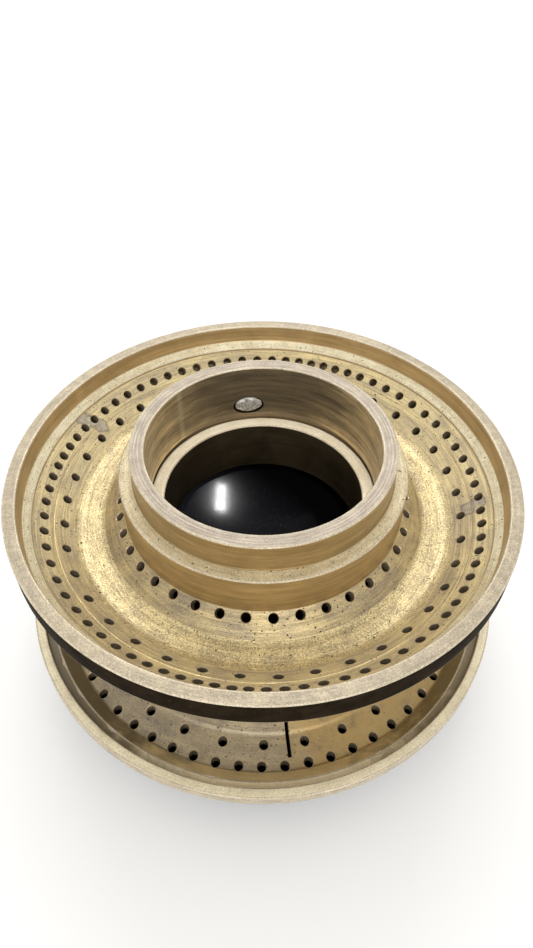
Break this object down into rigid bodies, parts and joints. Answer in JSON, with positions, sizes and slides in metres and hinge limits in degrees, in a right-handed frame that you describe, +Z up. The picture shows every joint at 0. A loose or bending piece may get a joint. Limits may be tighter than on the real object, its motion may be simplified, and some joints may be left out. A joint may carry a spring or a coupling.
{
  "type": "gas ring burner",
  "caption": "Two-deck brass ring burner: two drilled heads stacked on an enamelled gas bowl, round a closed central well, with a threaded rear inlet.",
  "frame": {"origin": "centre of the bolt circle on the resting face, on the burner's axis", "axes": "+Z up along the burner's axis, +Y towards the gas inlet, +X to the right seen from the front"},
  "size_m": [0.1388, 0.1514, 0.0848],
  "materials": {
    "black_enamel": "gloss black enamel on cast iron",
    "post_enamel": "gloss black enamel",
    "inlet_brass": "machined brass",
    "graphite": "pressed graphite sheet",
    "steel": "ground steel",
    "lower_brass": "turned brass, heat-stained",
    "neck_brass": "turned brass tube",
    "upper_brass": "turned brass, worn and tarnished",
    "collar_brass": "turned brass, satin",
    "solder": "rough solder",
    "sheet_brass": "pressed sheet brass, heat-darkened"
  },
  "bodies": {
    "base": {"base_bowl": "black_enamel", "inlet_bush": "inlet_brass", "centre_post": "post_enamel", "bowl_gasket": "graphite", "locating_dowel": "steel"},
    "lower_head": {"lower_port_pan": "lower_brass", "lower_neck": "neck_brass"},
    "seal_ring": {"upper_seal_ring": "graphite"},
    "upper_head": {"upper_port_dish": "upper_brass", "upper_collar": "collar_brass", "collar_plug": "solder", "upper_chamber_pan": "sheet_brass"}
  },
  "joints": [
    {"name": "lower_head_lift", "type": "slide", "parent": "base", "child": "lower_head", "axis": [0, 0, 1], "range_m": [0, 0.035]},
    {"name": "upper_head_lift", "type": "slide", "parent": "lower_head", "child": "seal_ring", "axis": [0, 0, 1], "range_m": [0, 0.025]},
    {"name": "upper_head_turn", "type": "hinge", "parent": "seal_ring", "child": "upper_head", "pos_m": [0, 0, 0.049], "axis": [0, 0, 1], "continuous": true}
  ]
}
